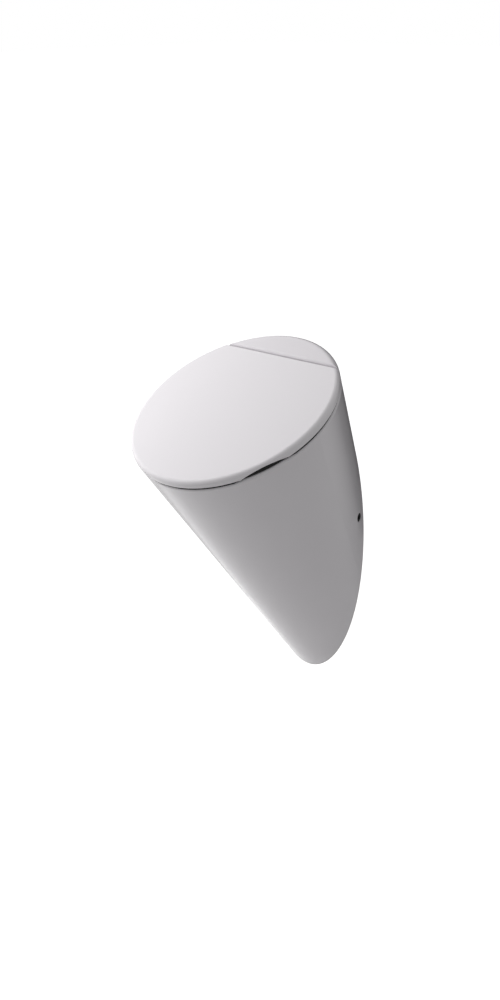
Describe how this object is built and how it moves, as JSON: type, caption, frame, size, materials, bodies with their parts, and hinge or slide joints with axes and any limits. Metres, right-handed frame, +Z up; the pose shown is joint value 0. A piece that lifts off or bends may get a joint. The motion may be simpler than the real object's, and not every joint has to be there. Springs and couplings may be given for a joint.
{
  "type": "wall hung urinal",
  "caption": "Conical wall hung urinal in white glazed ceramic with a forward leaning rim, a hinged round lid, a concealed trap and inlet, and a lift-out strainer",
  "frame": {"origin": "on the wall plane, midway between the two wall studs", "axes": "+X to the right seen from the front, +Y into the wall, +Z up; the front faces -Y"},
  "size_m": [0.33, 0.3625, 0.5564],
  "materials": {
    "ceramic": "glossy glaze",
    "lid": "polished thermoset",
    "buffer": "soft, matt",
    "hinge_steel": "brushed",
    "seal": "matt moulded",
    "fibre": "pressed fibre",
    "chrome": "bright plated",
    "brass": "machined",
    "trap_plastic": "moulded",
    "nut_plastic": "moulded",
    "bracket_steel": "zinc plated",
    "bush": "moulded"
  },
  "bodies": {
    "body": {"ceramic_body": "ceramic", "hinge_block_left": "hinge_steel", "hinge_block_right": "hinge_steel", "hinge_bolts": "hinge_steel", "hinge_seals": "seal", "hinge_washers": "hinge_steel", "hinge_nuts": "hinge_steel", "flush_nozzle": "chrome", "nozzle_gasket": "seal", "inlet_gasket": "seal", "inlet_washer": "brass", "inlet_locknut": "brass", "inlet_seal": "fibre", "inlet_union_nut": "chrome", "inlet_pipe": "brass", "waste_flange": "chrome", "waste_upper_gasket": "seal", "waste_lower_gasket": "seal", "waste_locknut": "nut_plastic", "trap_body": "trap_plastic", "trap_inlet_seal": "seal", "trap_union_nut": "nut_plastic", "outlet_seal": "seal", "outlet_pipe": "trap_plastic", "wall_bracket_left": "bracket_steel", "wall_bracket_right": "bracket_steel", "wall_studs": "bracket_steel", "stud_washers": "bracket_steel", "stud_nuts": "bracket_steel", "side_spacers": "bush", "side_screws": "bracket_steel"},
    "lid": {"lid_shell": "lid", "lid_buffers": "buffer", "hinge_pin_left": "hinge_steel", "hinge_pin_right": "hinge_steel"},
    "strainer": {"strainer": "chrome"}
  },
  "joints": [
    {"name": "lid_hinge", "type": "hinge", "parent": "body", "child": "lid", "pos_m": [0, -0.06583, 0.23506], "axis": [-1, 0, 0], "range_deg": [0, 122]},
    {"name": "strainer_lift", "type": "slide", "parent": "body", "child": "strainer", "axis": [0, 0, 1], "range_m": [0, 0.025]}
  ]
}
